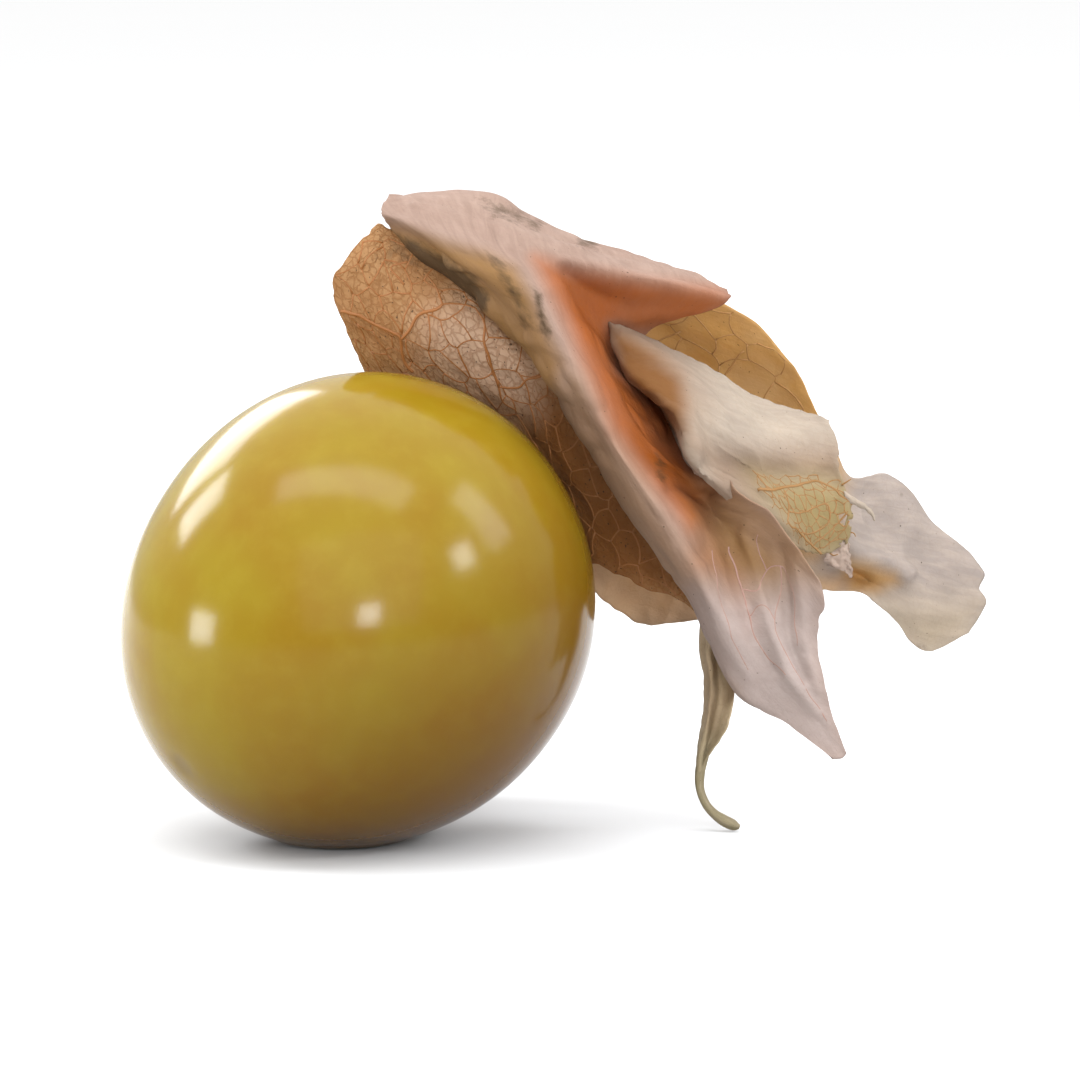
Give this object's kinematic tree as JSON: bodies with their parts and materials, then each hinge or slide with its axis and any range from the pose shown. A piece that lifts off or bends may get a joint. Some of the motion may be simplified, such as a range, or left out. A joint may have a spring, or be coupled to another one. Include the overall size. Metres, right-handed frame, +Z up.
{
  "type": "physalis berry",
  "caption": "Round glossy golden berry resting on a small flat spot, with its dry papery husk torn open and folded back behind and beside it.",
  "frame": {"origin": "centre of the small flat spot under the berry, on the surface that it rests on", "axes": "+Z up, +X from the berry towards the husk's outermost tip (right in the picture), +Y towards the back, away from the camera"},
  "size_m": [0.0377, 0.0253, 0.0273],
  "materials": {
    "berry": "ripe golden-olive berry skin, waxy and glossy, a little mottled",
    "husk": "dry papery calyx, tan to greyish pink, with a net of raised brown veins, matt",
    "stalk": "dry woody fruit stalk, olive brown, matt and finely furrowed"
  },
  "bodies": {
    "root": {"berry": "berry", "husk": "husk", "stalk": "stalk"}
  },
  "joints": []
}
